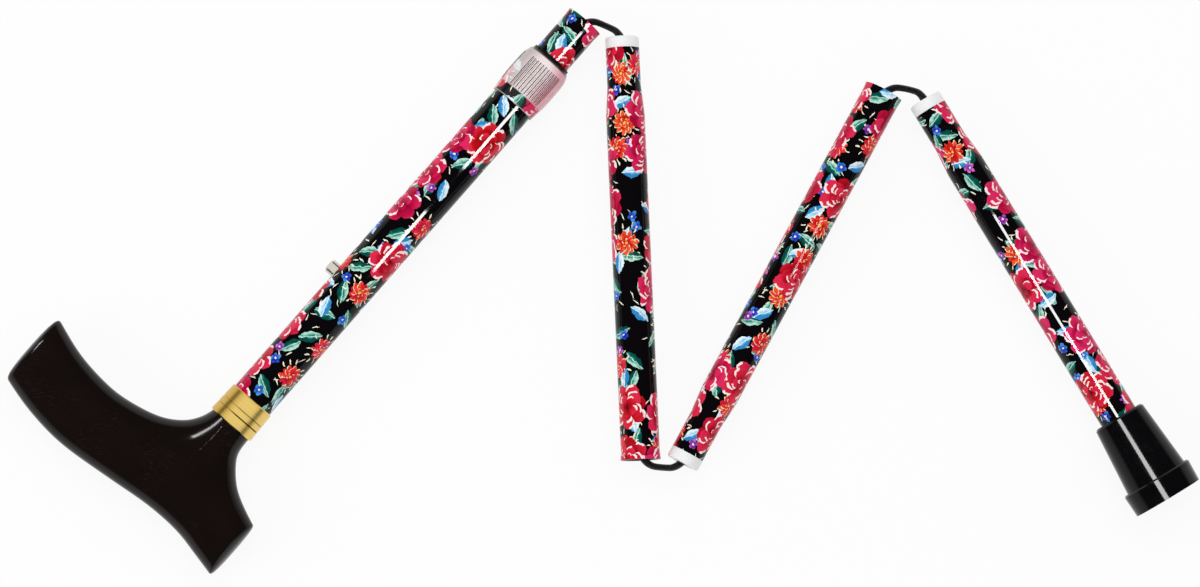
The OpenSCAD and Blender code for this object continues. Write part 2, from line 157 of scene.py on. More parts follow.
# floral print on black, the builder's own flowers: pitch and size of each motif in mm, the rest in shares
floral = {
    "ground": "#090709",
    "brush": {"swing": 1.0, "perMm": 0.4},  # how far the painted outlines wobble, and how often
    "jitter": 0.6,
    "petal": {"near": 0.85, "scatter": 0.3, "missing": 0.35, "hues": (0.484, 0.506),
              "rimFrom": 0.74, "rimSide": 0.12},
    "leaf": {"stroke": 2.4, "slope": 1.5, "stops": (0.28, 0.56, 0.98), "vein": 0.035},
    "layers": [
        {"kind": "leaf", "pitch": 5.5, "size": 2.0, "keep": 0.26, "seed": 3.7, "width": 0.15,
         "tones": ["#e8e6c8", "#f6f0d4", "#fbf8e6"]},
        {"kind": "leaf", "pitch": 12.5, "size": 6.2, "keep": 0.66, "seed": 11.3, "width": 0.42,
         "tones": ["#084a43", "#14806f", "#b5e3d3"]},
        {"kind": "leaf", "pitch": 17, "size": 5.6, "keep": 0.55, "seed": 27.9, "width": 0.5,
         "tones": ["#2f86c4", "#8ccbea", "#e6f5fb"]},
        {"kind": "flower", "pitch": 10, "size": 2.7, "keep": 0.24, "seed": 41.2, "eye": (0.2, "#f4e6f6"),
         "rings": [{"count": 5, "out": 0.56, "long": 0.42, "wide": 0.38}],
         "tones": ["#1c2f9e", "#2a55cc", "#4a8be0"]},
        {"kind": "flower", "pitch": 11, "size": 2.6, "keep": 0.24, "seed": 47.9, "eye": (0.22, "#f7d7ea"),
         "rings": [{"count": 5, "out": 0.56, "long": 0.42, "wide": 0.34}],
         "tones": ["#5d2487", "#9a3fae", "#d06ac4"]},
        {"kind": "flower", "pitch": 20, "size": 7.4, "keep": 0.56, "seed": 58.6, "eye": (0.1, "#f4c04a"),
         "rings": [{"count": 15, "out": 0.98, "long": 0.17, "wide": 0.045, "tone": "#f6efcf"},
                   {"count": 11, "out": 0.5, "long": 0.3, "wide": 0.17, "rim": 0.45},
                   {"count": 9, "out": 0.34, "long": 0.24, "wide": 0.15, "rim": 0.5},
                   {"count": 5, "out": 0.15, "long": 0.17, "wide": 0.13, "rim": 0.2}],
         "tones": ["#a80d1c", "#d41f22", "#ec5530", "#fbe9c0"]},
        {"kind": "flower", "pitch": 25, "size": 10.6, "keep": 0.68, "seed": 73.4, "eye": (0.05, "#6d0618"),
         "rings": [{"count": 7, "out": 0.6, "long": 0.42, "wide": 0.38, "rim": 0.25},
                   {"count": 5, "out": 0.42, "long": 0.36, "wide": 0.36, "rim": 0.3},
                   {"count": 5, "out": 0.26, "long": 0.26, "wide": 0.25, "rim": 0.4},
                   {"count": 3, "out": 0.11, "long": 0.17, "wide": 0.16, "rim": 0.3}],
         "tones": ["#74081c", "#bb0f2a", "#da2a4d", "#fde6e4"]},
    ],
}


def petalRing(tree, below, spot, ring, tones):
    # one ring of petals round a flower's heart, each dark at its foot, some with a pale stroke on one side
    petal = floral["petal"]
    step = math.tau / ring["count"]
    share = addNode(tree, "Math", {0: spot["theta"], 1: 1 / step}, operation="MULTIPLY")[0]
    which = addNode(tree, "Math", {0: share}, operation="ROUND")[0]
    swing = addNode(tree, "Math", {0: which, 1: -step, 2: spot["theta"]}, operation="MULTIPLY_ADD")[0]
    key = addNode(tree, "CombineXYZ", {0: which, 1: spot["dice"], 2: ring["count"] * ring["out"]})[0]
    luck = addNode(tree, "TexWhiteNoise", {"Vector": key}, noise_dimensions="3D")["Value"]
    out = addNode(tree, "Math", {0: luck, 1: petal["scatter"] * ring["out"], 2: petal["near"] * ring["out"]},
                  operation="MULTIPLY_ADD")[0]
    ahead = addNode(tree, "Math", {0: swing}, operation="COSINE")[0]
    aside = addNode(tree, "Math", {0: swing}, operation="SINE")[0]
    px = addNode(tree, "Math", {0: spot["far"], 1: ahead}, operation="MULTIPLY")[0]
    px = addNode(tree, "Math", {0: px, 1: out}, operation="SUBTRACT")[0]
    px = addNode(tree, "Math", {0: px, 1: ring["long"]}, operation="DIVIDE")[0]
    py = addNode(tree, "Math", {0: spot["far"], 1: aside}, operation="MULTIPLY")[0]
    py = addNode(tree, "Math", {0: py, 1: ring["wide"]}, operation="DIVIDE")[0]
    oval = addNode(tree, "CombineXYZ", {0: px, 1: py})[0]
    edge = addNode(tree, "VectorMath", {0: oval}, operation="LENGTH")["Value"]
    inside = addNode(tree, "Math", {0: edge, 1: 1.0}, operation="LESS_THAN")[0]
    inside = addNode(tree, "Math", {0: inside, 1: spot["here"]}, operation="MULTIPLY")[0]
    if "tone" in ring:
        some = addNode(tree, "Math", {0: luck, 1: petal["missing"]}, operation="GREATER_THAN")[0]
        inside = addNode(tree, "Math", {0: inside, 1: some}, operation="MULTIPLY")[0]
        return addNode(tree, "Mix", {0: inside, 6: below, 7: linear(ring["tone"])}, data_type="RGBA")[2]
    rise = addNode(tree, "Math", {0: px, 1: 0.5, 2: luck}, operation="MULTIPLY_ADD")[0]
    paint = addNode(tree, "ValToRGB", {0: rise}, [(0.0, tones[0]), (1.0, tones[2]), (0.5, tones[1])])[0]
    hue = addNode(tree, "MapRange", {0: spot["dice"], 3: petal["hues"][0], 4: petal["hues"][1]})[0]
    paint = addNode(tree, "HueSaturation", {"Hue": hue, "Color": paint})[0]
    if "rim" in ring:
        rim = addNode(tree, "Math", {0: edge, 1: petal["rimFrom"]}, operation="GREATER_THAN")[0]
        side = addNode(tree, "Math", {0: py, 1: petal["rimSide"]}, operation="GREATER_THAN")[0]
        some = addNode(tree, "Math", {0: luck, 1: ring["rim"]}, operation="GREATER_THAN")[0]
        rim = addNode(tree, "Math", {0: rim, 1: side}, operation="MULTIPLY")[0]
        rim = addNode(tree, "Math", {0: rim, 1: some}, operation="MULTIPLY")[0]
        paint = addNode(tree, "Mix", {0: rim, 6: paint, 7: tones[3]}, data_type="RGBA")[2]
    return addNode(tree, "Mix", {0: inside, 6: below, 7: paint}, data_type="RGBA")[2]


def motifLayer(tree, plane, below, d):
    # one motif on a loose grid; each cell's own luck turns it, tints it or leaves it out
    seed = (d["seed"], d["seed"] * 1.7, 0)
    cell = addNode(tree, "VectorMath", {0: plane, 1: (1 / d["pitch"],) * 3, 2: seed},
                   operation="MULTIPLY_ADD")[0]
    nearest = addNode(tree, "TexVoronoi", {"Vector": cell, "Scale": 1, "Randomness": floral["jitter"]},
                      voronoi_dimensions="2D")
    luck = addNode(tree, "SeparateColor", {0: nearest["Color"]})
    away = addNode(tree, "VectorMath", {0: cell, 1: nearest["Position"]}, operation="SUBTRACT")[0]
    sized = addNode(tree, "VectorMath", {0: away, 3: d["pitch"] / d["size"]}, operation="SCALE")[0]
    angle = addNode(tree, "Math", {0: luck[0], 1: math.tau}, operation="MULTIPLY")[0]
    turned = addNode(tree, "VectorRotate", {"Vector": sized, "Angle": angle}, rotation_type="Z_AXIS")[0]
    xyz = addNode(tree, "SeparateXYZ", {0: turned})
    here = addNode(tree, "Math", {0: luck[2], 1: d["keep"]}, operation="LESS_THAN")[0]
    tones = [linear(c) for c in d["tones"]]
    if d["kind"] == "flower":
        far = addNode(tree, "VectorMath", {0: turned}, operation="LENGTH")["Value"]
        theta = addNode(tree, "Math", {0: xyz[1], 1: xyz[0]}, operation="ARCTAN2")[0]
        spot = {"far": far, "theta": theta, "here": here, "dice": luck[1]}
        for ring in d["rings"]:
            below = petalRing(tree, below, spot, ring, tones)
        eye = addNode(tree, "Math", {0: far, 1: d["eye"][0]}, operation="LESS_THAN")[0]
        eye = addNode(tree, "Math", {0: eye, 1: here}, operation="MULTIPLY")[0]
        return addNode(tree, "Mix", {0: eye, 6: below, 7: linear(d["eye"][1])}, data_type="RGBA")[2]
    leaf = floral["leaf"]
    low, middle, high = leaf["stops"]
    square = addNode(tree, "Math", {0: xyz[0], 1: xyz[0]}, operation="MULTIPLY")[0]
    half = addNode(tree, "Math", {0: square, 1: -d["width"], 2: d["width"]}, operation="MULTIPLY_ADD")[0]
    across = addNode(tree, "Math", {0: xyz[1]}, operation="ABSOLUTE")[0]
    inside = addNode(tree, "Math", {0: across, 1: half}, operation="LESS_THAN")[0]
    inside = addNode(tree, "Math", {0: inside, 1: here}, operation="MULTIPLY")[0]
    stroke = addNode(tree, "TexNoise", {"Vector": turned, "Scale": leaf["stroke"], "Detail": 2.0})[0]
    shade = addNode(tree, "Math", {0: xyz[1], 1: leaf["slope"], 2: stroke}, operation="MULTIPLY_ADD")[0]
    paint = addNode(tree, "ValToRGB", {0: shade}, [(low, tones[0]), (high, tones[2]), (middle, tones[1])])[0]
    vein = addNode(tree, "Math", {0: across, 1: leaf["vein"]}, operation="LESS_THAN")[0]
    paint = addNode(tree, "Mix", {0: vein, 6: paint, 7: tones[2]}, data_type="RGBA")[2]
    return addNode(tree, "Mix", {0: inside, 6: below, 7: paint}, data_type="RGBA")[2]


def printColour(tree, along, angle, radius, shift):
    # the print on the unrolled tube; shift picks another stretch of it for each tube
    arc = addNode(tree, "Math", {0: angle, 1: radius}, operation="MULTIPLY")[0]
    along = addNode(tree, "Math", {0: along, 1: shift}, operation="ADD")[0]
    flat = addNode(tree, "CombineXYZ", {0: along, 1: arc})[0]
    swing = floral["brush"]["swing"]
    brush = addNode(tree, "TexNoise", {"Vector": flat, "Scale": floral["brush"]["perMm"], "Detail": 2.0})["Color"]
    wobble = addNode(tree, "VectorMath", {0: brush, 1: (2 * swing, 2 * swing, 0), 2: (-swing, -swing, 0)},
                     operation="MULTIPLY_ADD")[0]
    plane = addNode(tree, "VectorMath", {0: flat, 1: wobble}, operation="ADD")[0]
    colour = linear(floral["ground"])
    for d in floral["layers"]:
        colour = motifLayer(tree, plane, colour, d)
    return colour


def printedFilm(name, tube, radius, shift):
    # printed film under clear lacquer: strong colours below, a sharp wet gloss on top
    lacquer = {"Roughness": 0.5, "Specular IOR Level": 0.0,
               "Coat Weight": 1.0, "Coat Roughness": 0.03, "Coat IOR": 1.28}
    material, tree, sockets = newMaterial(name, **lacquer)
    along, angle = tubePlace(tree, tube)
    tree.links.new(printColour(tree, along, angle, radius, shift), sockets["Base Color"])
    return material


# lock ring: bands as places along the tube in mm (where the painted sheen of the ribs starts and stops, and the
# painted highlight on the lower edge), and the grip grooves
lockRing = {"radius": 12.5, "shift": 700,
            "ribs": (213.4, 214.2), "darkEnd": (234.4, 235.2), "litEdge": (208.3, 208.6),
            "grooveFrom": 214 * mm, "grooveTo": 231.7 * mm, "grooveFloor": 12.43 * mm,
            "groovePitch": math.radians(4)}


def printedRing(name, tube, d):
    # the film over a ribbed ring: between its dark ends the print is mixed with a pale pink painted sheen, a
    # painted reflection of the white surroundings in the ribs
    lacquer = {"Roughness": 0.4, "Specular IOR Level": 0.15,
               "Coat Weight": 1.0, "Coat Roughness": 0.08, "Coat IOR": 1.28}
    material, tree, sockets = newMaterial(name, **lacquer)
    along, angle = tubePlace(tree, tube)
    colour = printColour(tree, along, angle, d["radius"], d["shift"])
    # painted sheen: pale pink over the print between the ribs' start and the dark end
    ribSheen = addNode(tree, "MapRange", {0: along, 1: d["ribs"][0], 2: d["ribs"][1], 3: 0.0, 4: 0.92})[0]
    dark = addNode(tree, "MapRange", {0: along, 1: d["darkEnd"][0], 2: d["darkEnd"][1], 3: 1.0, 4: 0.02})[0]
    ribSheen = addNode(tree, "Math", {0: ribSheen, 1: dark}, operation="MULTIPLY")[0]
    # the painted sheen is weaker towards one side of the ring
    turn = addNode(tree, "MapRange", {0: angle, 1: 0.2, 2: 0.8, 3: 1.0, 4: 0.6})[0]
    ribSheen = addNode(tree, "Math", {0: ribSheen, 1: turn}, operation="MULTIPLY")[0]
    # the painted sheen is pinker towards the other side
    sheenPinkSide = addNode(tree, "MapRange", {0: angle, 1: -0.8, 2: -0.25, 3: 1.0, 4: 0.0})[0]
    pale = addNode(tree, "Mix", {0: sheenPinkSide, 6: linear("#f8e8e8"), 7: linear("#f3b9c1")}, data_type="RGBA")[2]
    printWithSheen = addNode(tree, "Mix", {0: ribSheen, 6: colour, 7: pale}, data_type="RGBA")[2]
    # painted highlight: a pale grey line along the ring's lower edge, where its chamfer catches the light
    edgeHighlight = addNode(tree, "MapRange", {0: along, 1: d["litEdge"][0], 2: d["litEdge"][1], 3: 0.55, 4: 0.0})[0]
    printWithSheen = addNode(tree, "Mix", {0: edgeHighlight, 6: printWithSheen, 7: linear("#c9c4c4")}, data_type="RGBA")[2]
    tree.links.new(printWithSheen, sockets["Base Color"])
    return material


def drawnAluminium():
    # drawn aluminium in the bores and on the cut rims: dull grey with a fine grain of about 1 mm
    material, tree, sockets = newMaterial("drawnAluminium", **{"Metallic": 1.0, "Roughness": 0.42})
    where = addNode(tree, "TexCoord", {})["Object"]
    grain = addNode(tree, "TexNoise", {"Vector": where, "Scale": 900.0, "Detail": 3.0})[0]
    tone = addNode(tree, "Mix", {0: grain, 6: linear("#7b7d80"), 7: linear("#b4b6b8")}, data_type="RGBA")[2]
    tree.links.new(tone, sockets["Base Color"])
    return material


def clouded(name, tones, perMetre, rough, scuff=None, **values):
    # a moulded plastic or rubber: two near tones in soft clouds, its polish a little uneven, scuffed in patches
    material, tree, sockets = newMaterial(name, **values)
    where = addNode(tree, "TexCoord", {})["Object"]
    cloud = addNode(tree, "TexNoise", {"Vector": where, "Scale": perMetre, "Detail": 4.0})[0]
    tone = addNode(tree, "Mix", {0: cloud, 6: linear(tones[0]), 7: linear(tones[1])}, data_type="RGBA")[2]
    if scuff:
        # scratches 3 mm long and under 1 mm wide, in patches of some 24 mm
        rub = addNode(tree, "Mapping", {"Vector": where, "Rotation": (0, 0, 0.6), "Scale": (300, 1500, 600)})[0]
        rub = addNode(tree, "TexNoise", {"Vector": rub, "Scale": 1.0, "Detail": 4.0})[0]
        rub = addNode(tree, "MapRange", {0: rub, 1: 0.55, 2: 0.75, 3: 0.0, 4: 0.25})[0]
        patch = addNode(tree, "TexNoise", {"Vector": where, "Scale": 42.0, "Detail": 1.0})[0]
        patch = addNode(tree, "MapRange", {0: patch, 1: 0.5, 2: 0.68, 3: 0.0, 4: 1.0})[0]
        rub = addNode(tree, "Math", {0: rub, 1: patch}, operation="MULTIPLY")[0]
        tone = addNode(tree, "Mix", {0: rub, 6: tone, 7: linear(scuff)}, data_type="RGBA")[2]
    tree.links.new(tone, sockets["Base Color"])
    wear = addNode(tree, "MapRange", {0: cloud, 1: 0.3, 2: 0.75, 3: rough[0], 4: rough[1]})[0]
    tree.links.new(wear, sockets["Roughness"])
    return material


# brass collar: its two grooves, place along the tube in mm and strength of the painted shade in each
collar = {"grooves": ((5.26, 1.0), (8.78, 0.6)), "halfGroove": 0.36}


def turnedBrass():
    # lathe-turned brass, satin: pale gold with tool lines of about 0.5 mm round it, painted shade in its grooves
    # and towards one side
    material, tree, sockets = newMaterial("turnedBrass", **{"Metallic": 1.0, "Roughness": 0.3})
    along, angle = tubePlace(tree, upper)
    tool = addNode(tree, "TexNoise", {"W": along, "Scale": 2.2, "Detail": 3.0}, noise_dimensions="1D")[0]
    tone = addNode(tree, "Mix", {0: tool, 6: linear("#d8ad44"), 7: linear("#f6de8e")}, data_type="RGBA")[2]
    # painted shade: the gold turns darker towards one side of the collar
    paintedShadeSide = addNode(tree, "MapRange", {0: angle, 1: 0.15, 2: 0.5, 3: 0.0, 4: 0.5})[0]
    tone = addNode(tree, "Mix", {0: paintedShadeSide, 6: tone, 7: linear("#c4952a")}, data_type="RGBA")[2]
    # painted shade in both grooves: dark brown, strongest on top and fading towards one side
    for place, strength in collar["grooves"]:
        shadeInGroove = addNode(tree, "Math", {0: along, 1: place, 2: collar["halfGroove"]}, operation="COMPARE")[0]
        grooveShadeStrength = addNode(tree, "MapRange", {0: angle, 1: 0.0, 2: 0.4, 3: strength, 4: 0.3 * strength})[0]
        shadeInGroove = addNode(tree, "Math", {0: shadeInGroove, 1: grooveShadeStrength}, operation="MULTIPLY")[0]
        tone = addNode(tree, "Mix", {0: shadeInGroove, 6: tone, 7: linear("#5f430c")}, data_type="RGBA")[2]
    tree.links.new(tone, sockets["Base Color"])
    bump = addNode(tree, "Bump", {"Height": tool, "Strength": 0.3, "Distance": 0.1 * mm})[0]
    tree.links.new(bump, sockets["Normal"])
    return material


def platedSteel():
    # nickel-plated steel: pale grey mirror with fine scuffs of under 1 mm
    plate = {"Metallic": 1.0, "Base Color": linear("#d6d0c6")}
    material, tree, sockets = newMaterial("nickelPlatedSteel", **plate)
    where = addNode(tree, "TexCoord", {})["Object"]
    scuff = addNode(tree, "TexNoise", {"Vector": where, "Scale": 1200.0, "Detail": 2.0})[0]
    rough = addNode(tree, "MapRange", {0: scuff, 1: 0.3, 2: 0.8, 3: 0.12, 4: 0.3})[0]
    tree.links.new(rough, sockets["Roughness"])
    return material


def elasticBraid():
    # braided elastic: black yarn in crossing strands, drawn coarser than real so that they show
    yarn = {"strands": 6.0, "lay": 1.8}  # strands each way round the cord, mm from one to the next along it
    material, tree, sockets = newMaterial("braidedElastic", **{"Roughness": 0.6, "Sheen Weight": 0.2})
    xyz = addNode(tree, "SeparateXYZ", {0: addNode(tree, "UVMap", {}, uv_map="cordWrap")[0]})
    strands = []
    for lean in (1, -1):
        run = addNode(tree, "Math", {0: xyz[1], 1: lean / yarn["lay"]}, operation="MULTIPLY")[0]
        wind = addNode(tree, "Math", {0: xyz[0], 1: yarn["strands"], 2: run}, operation="MULTIPLY_ADD")[0]
        turn = addNode(tree, "Math", {0: wind, 1: math.tau}, operation="MULTIPLY")[0]
        strands.append(addNode(tree, "Math", {0: turn}, operation="SINE")[0])
    height = addNode(tree, "Math", {0: strands[0], 1: strands[1]}, operation="MAXIMUM")[0]
    # painted shade: the strand tops lighter and the gaps between them darker, along with the bump
    tone = addNode(tree, "Mix", {0: height, 6: linear("#050506"), 7: linear("#161618")}, data_type="RGBA")[2]
    tree.links.new(tone, sockets["Base Color"])
    bump = addNode(tree, "Bump", {"Height": height, "Strength": 0.6, "Distance": 0.2 * mm})[0]
    tree.links.new(bump, sockets["Normal"])
    return material


aluminium, brass, steel, braid = drawnAluminium(), turnedBrass(), platedSteel(), elasticBraid()
# near-black ABS with a dull polish, clouds of 17 mm
handlePlastic = clouded("mouldedAbs", ("#100a09", "#170f0e"), 60.0, (0.1, 0.16), "#3d3331",
                        **{"Specular IOR Level": 0.2})
# black rubber with the shine of its mould, clouds of 6 mm
tipRubber = clouded("mouldedRubber", ("#060607", "#0c0c0e"), 180.0, (0.07, 0.13), "#2c2d30",
                    **{"Specular IOR Level": 0.16})
# dull dark nylon, and painted shade in the bottom of the grip grooves, clouds of 2 mm
colletNylon = clouded("mouldedNylon", ("#0d0909", "#1c1314"), 500.0, (0.35, 0.45), **{"Specular IOR Level": 0.3})
grooveShade = clouded("paintedGrooveShade", ("#2c1b1e", "#463034"), 500.0, (0.5, 0.6), **{"Specular IOR Level": 0.1})
# milky polythene that lets some light in, clouds of 4 mm
milky = {"Subsurface Weight": 0.25, "Subsurface Radius": (2 * mm, 2 * mm, 2 * mm), "Subsurface Scale": 1.0}
ferrulePlastic = clouded("whitePolythene", ("#eceeed", "#f5f6f6"), 250.0, (0.28, 0.36), **milky)
bushPlastic = clouded("ivoryPolythene", ("#dcd6c6", "#ece7da"), 250.0, (0.28, 0.36), **milky)
print("finishes made")


def dressTube(name, tube, outside, inside):
    # the outside gets the print, the bore and the cut rims stay bare
    mesh = nodes[name].data
    coat(mesh, outside, inside)
    for face in mesh.polygons:
        out = face.center - tube["start"]
        out -= out.dot(tube["way"]) * tube["way"]
        face.material_index = 0 if face.normal.dot(out.normalized()) > 0.25 else 1


# tubes: radius in mm, and which stretch of the print each one shows
printed = {
    "outer_tube": {"film": "printOuter", "tube": upper, "radius": 11.1, "shift": 40},
    "inner_tube": {"film": "printInner", "tube": upper, "radius": 9.5, "shift": 310},
    "tube_2": {"film": "printSection2", "tube": tubes["section2"], "radius": 9.5, "shift": 1115},
    "tube_3": {"film": "printSection3", "tube": tubes["section3"], "radius": 9.5, "shift": 1400},
    "tube_4": {"film": "printSection4", "tube": last, "radius": 9.5, "shift": 2065},
}
for name, d in printed.items():
    dressTube(name, d["tube"], printedFilm(d["film"], d["tube"], d["radius"], d["shift"]), aluminium)
dressTube("lock_ring", upper, printedRing("printRing", upper, lockRing), colletNylon)

# the floors of the grip grooves: every second one gets the dark painted groove shade, so that the fine lines show
# from afar
mesh = nodes["lock_ring"].data
mesh.materials.append(grooveShade)
across = upper["way"].cross(zUp)
for face in mesh.polygons:
    out = face.center - upper["start"]
    along = out.dot(upper["way"])
    out -= along * upper["way"]
    level = abs(face.normal.dot(upper["way"])) < 0.02 and face.normal.dot(out) > 0
    number = round(math.atan2(out.z, out.dot(across)) / lockRing["groovePitch"])
    inGroove = lockRing["grooveFrom"] < along < lockRing["grooveTo"] and out.length < lockRing["grooveFloor"]
    if level and inGroove and number % 2 == 0:
        face.material_index = 2

plain = {"brass_collar": brass, "snap_button": steel, "tip_washer": steel, "collet": colletNylon,
         "guide_bush": bushPlastic, "cord_anchor_top": bushPlastic, "cord_anchor_bottom": bushPlastic,
         "ferrule_2": ferrulePlastic, "ferrule_3": ferrulePlastic, "ferrule_4": ferrulePlastic,
         "rubber_tip": tipRubber}
for name, material in plain.items():
    coat(nodes[name].data, material)
print("CAD nodes dressed")

# handle: the CAD shape, merged and smoothed, with a crisp edge where the neck meets the collar
grip = {"merge": 0.02 * mm, "flat": math.radians(40), "square": math.radians(60),
        "neckBand": 0.3 * mm, "levels": 2}
handleGrip, mesh = copyNode("handle", "handleGrip")
bpy.ops.object.mode_set(mode="EDIT")
bpy.ops.mesh.select_all(action="SELECT")
bpy.ops.mesh.customdata_custom_splitnormals_clear()
bpy.ops.mesh.remove_doubles(threshold=grip["merge"])
bpy.ops.mesh.tris_convert_to_quads(face_threshold=grip["flat"], shape_threshold=grip["square"])
bpy.ops.mesh.select_all(action="DESELECT")
bpy.ops.object.mode_set(mode="OBJECT")
for edge in mesh.edges:
    ends = [abs((mesh.vertices[v].co - upper["start"]).dot(upper["way"])) for v in edge.vertices]
    edge.select = max(ends) < grip["neckBand"]
bpy.ops.object.mode_set(mode="EDIT")
bpy.ops.mesh.select_mode(type="EDGE")
bpy.ops.transform.edge_crease(value=1)
bpy.ops.object.mode_set(mode="OBJECT")
smooth = handleGrip.modifiers.new("smooth", "SUBSURF")
smooth.levels = smooth.render_levels = grip["levels"]
bpy.ops.object.modifier_apply(modifier="smooth")
bpy.ops.object.shade_smooth()
coat(mesh, handlePlastic)
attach(handleGrip, "handle_body")
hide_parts("handle")
print("handle:", len(mesh.polygons), "faces")

# button spring: a copy of the CAD leaf with rounded edges
spring = {"merge": 0.01 * mm, "flat": math.radians(1), "edge": 0.08 * mm, "edgeSteps": 2,
          "smooth": math.radians(35)}
buttonSpring, mesh = copyNode("button_spring", "buttonSpring")
bpy.ops.object.mode_set(mode="EDIT")
bpy.ops.mesh.select_all(action="SELECT")
bpy.ops.mesh.remove_doubles(threshold=spring["merge"])
bpy.ops.mesh.dissolve_limited(angle_limit=spring["flat"])
bpy.ops.mesh.bevel(offset=spring["edge"], segments=spring["edgeSteps"])
bpy.ops.object.mode_set(mode="OBJECT")
bpy.ops.object.shade_smooth_by_angle(angle=spring["smooth"])
coat(mesh, steel)
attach(buttonSpring, "inner_tube_body")
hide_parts("button_spring")
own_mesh(buttonSpring)

# elastic cord: one length from anchor to anchor, in stretches that move with their bodies
cord = {"radius": 2 * mm, "bend": 8 * mm, "lead": 20 * mm, "arcSteps": 16, "sides": 4,
        "pitch": 4 * mm, "bridgePitch": mm,
        "stretched": 0.8, "bow": (0.7 * mm, 1.4 * mm, 2.2 * mm),  # thinner and bowed outwards between the tubes
        "seatHigh": 112 * mm, "seatLow": 196 * mm, "runOn": 3 * mm,  # the ends run on into their knots
        "knot": {"round": 2.3 * mm, "swing": 1.15 * mm, "strand": 1.35 * mm, "back": 3.6 * mm, "steps": 72}}


def cordStretch(name, points, radius=cord["radius"], shares=None):
    # a tube along the points; its map has turns round the cord one way and mm along it the other
    curve = bpy.data.curves.new(name, "CURVE")
    curve.dimensions = "3D"
    curve.bevel_depth = radius
    curve.bevel_resolution = cord["sides"]
    curve.use_fill_caps = True
    spline = curve.splines.new("POLY")
    spline.points.add(len(points) - 1)
    for k, (p, co) in enumerate(zip(spline.points, points)):
        p.co = (*co, 1)
        p.radius = shares[k] if shares else 1
    piece = bpy.data.objects.new(name, curve)
    scene.collection.objects.link(piece)
    pick(piece)
    bpy.ops.object.convert(target="MESH")
    piece = bpy.context.object
    mesh = piece.data
    ringSize = len(mesh.vertices) // len(points)
    run = [0.0]
    for a, b in zip(points, points[1:]):
        run.append(run[-1] + (Vector(b) - Vector(a)).length / mm)
    while mesh.uv_layers:
        mesh.uv_layers.remove(mesh.uv_layers[0])
    wrap = mesh.uv_layers.new(name="cordWrap")
    for face in mesh.polygons:
        around = [mesh.loops[k].vertex_index % ringSize for k in face.loop_indices]
        crossing = len(around) == 4 and max(around) - min(around) > ringSize / 2
        for k, a in zip(face.loop_indices, around):
            ring = min(mesh.loops[k].vertex_index // ringSize, len(run) - 1)
            turn = a + ringSize if crossing and a < ringSize / 2 else a
            wrap.data[k].uv = (turn / ringSize, run[ring])
    bpy.ops.object.shade_smooth()
    coat(mesh, braid)
    return piece


def straight(a, b, pitch):
    count = max(2, round((b - a).length / pitch))
    return [a.lerp(b, k / count) for k in range(count + 1)]


def bend(pivot, before, after):
    # arc of the cord's bend radius that comes in along one way and leaves along the other
    angle = before.angle(after)
    side = (after - before * before.dot(after)).normalized()
    centre = pivot - before * cord["bend"] * math.tan(angle / 2) + side * cord["bend"]
    steps = [angle * k / cord["arcSteps"] for k in range(cord["arcSteps"] + 1)]
    return [centre + cord["bend"] * (math.sin(s) * before - math.cos(s) * side) for s in steps]


def knot(name, body, node, seat, way):
    # three crossing loops, drawn up against the anchor; way points from the anchor into the knot
    k = cord["knot"]
    heart = seat + k["back"] * way
    side = way.cross(zUp)
    points = []
    for step in range(k["steps"] + 1):
        t = math.tau * step / k["steps"]
        far = k["round"] + k["swing"] * math.cos(3 * t)
        ahead = k["swing"] * math.sin(3 * t) * way
        points.append(heart + far * (math.cos(2 * t) * side + math.sin(2 * t) * zUp) + ahead)
    piece = cordStretch(name, points, k["strand"])
    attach(piece, body)
    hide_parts(node)


def cordRun(n, body, a, b):
    # the run inside a tube
    run = cordStretch(f"cordRun{n}", straight(a, b, cord["pitch"]))
    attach(run, body)
    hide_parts(f"cord_run_{n}")
    if n > 1:
        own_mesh(run)


parents = ["inner_tube_body", "section_2", "section_3"]
ways = [tubes[name]["way"] for name in ("upper", "section2", "section3", "section4")]
seatHigh = upper["start"] + cord["seatHigh"] * upper["way"]
seatLow = last["start"] + cord["seatLow"] * last["way"]
knot("cordKnotTop", "inner_tube_body", "cord_knot_top", seatHigh, -upper["way"])
knot("cordKnotBottom", "section_4", "cord_knot_bottom", seatLow, last["way"])
runStart = seatHigh - cord["runOn"] * upper["way"]
for i in range(3):
    pivotHigh = Vector(joints[f"fold_{i + 1}"]["pos_m"])
    pivotLow = Vector(joints[f"fold_{i + 1}_lower"]["pos_m"])
    link = (pivotLow - pivotHigh).normalized()
    high, low = bend(pivotHigh, ways[i], link), bend(pivotLow, link, ways[i + 1])
    outward = (ways[i] - link * ways[i].dot(link)).normalized()
    between = straight(high[-1], low[0], cord["bridgePitch"])[1:-1]
    path = high + between + low
    hump = [math.sin(math.pi * k / (len(path) - 1)) ** 2 for k in range(len(path))]
    shares = [1 - (1 - cord["stretched"]) * h for h in hump]
    path = [co + cord["bow"][i] * h * outward for co, h in zip(path, hump)]
    half = len(high) + len(between) // 2
    leadEnd = low[-1] + cord["lead"] * ways[i + 1]
    cordRun(i + 1, parents[i], runStart, high[0])
    upperBend = cordStretch(f"cordUpperBend{i + 1}", path[:half + 1], shares=shares[:half + 1])
    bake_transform(upperBend)
    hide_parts(f"cord_bridge_{i + 1}")
    lowerBend = cordStretch(f"cordLowerBend{i + 1}", path[half:], shares=shares[half:])
    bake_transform(lowerBend)
    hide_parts(f"cord_bridge_{i + 1}")
    lead = cordStretch(f"cordLead{i + 2}", straight(low[-1], leadEnd, cord["pitch"]))
    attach(lead, f"cord_guide_{i + 2}")
    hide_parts(f"cord_lead_{i + 2}")
    runStart = leadEnd
cordRun(4, "section_4", runStart, seatLow + cord["runOn"] * last["way"])
print("cord made")

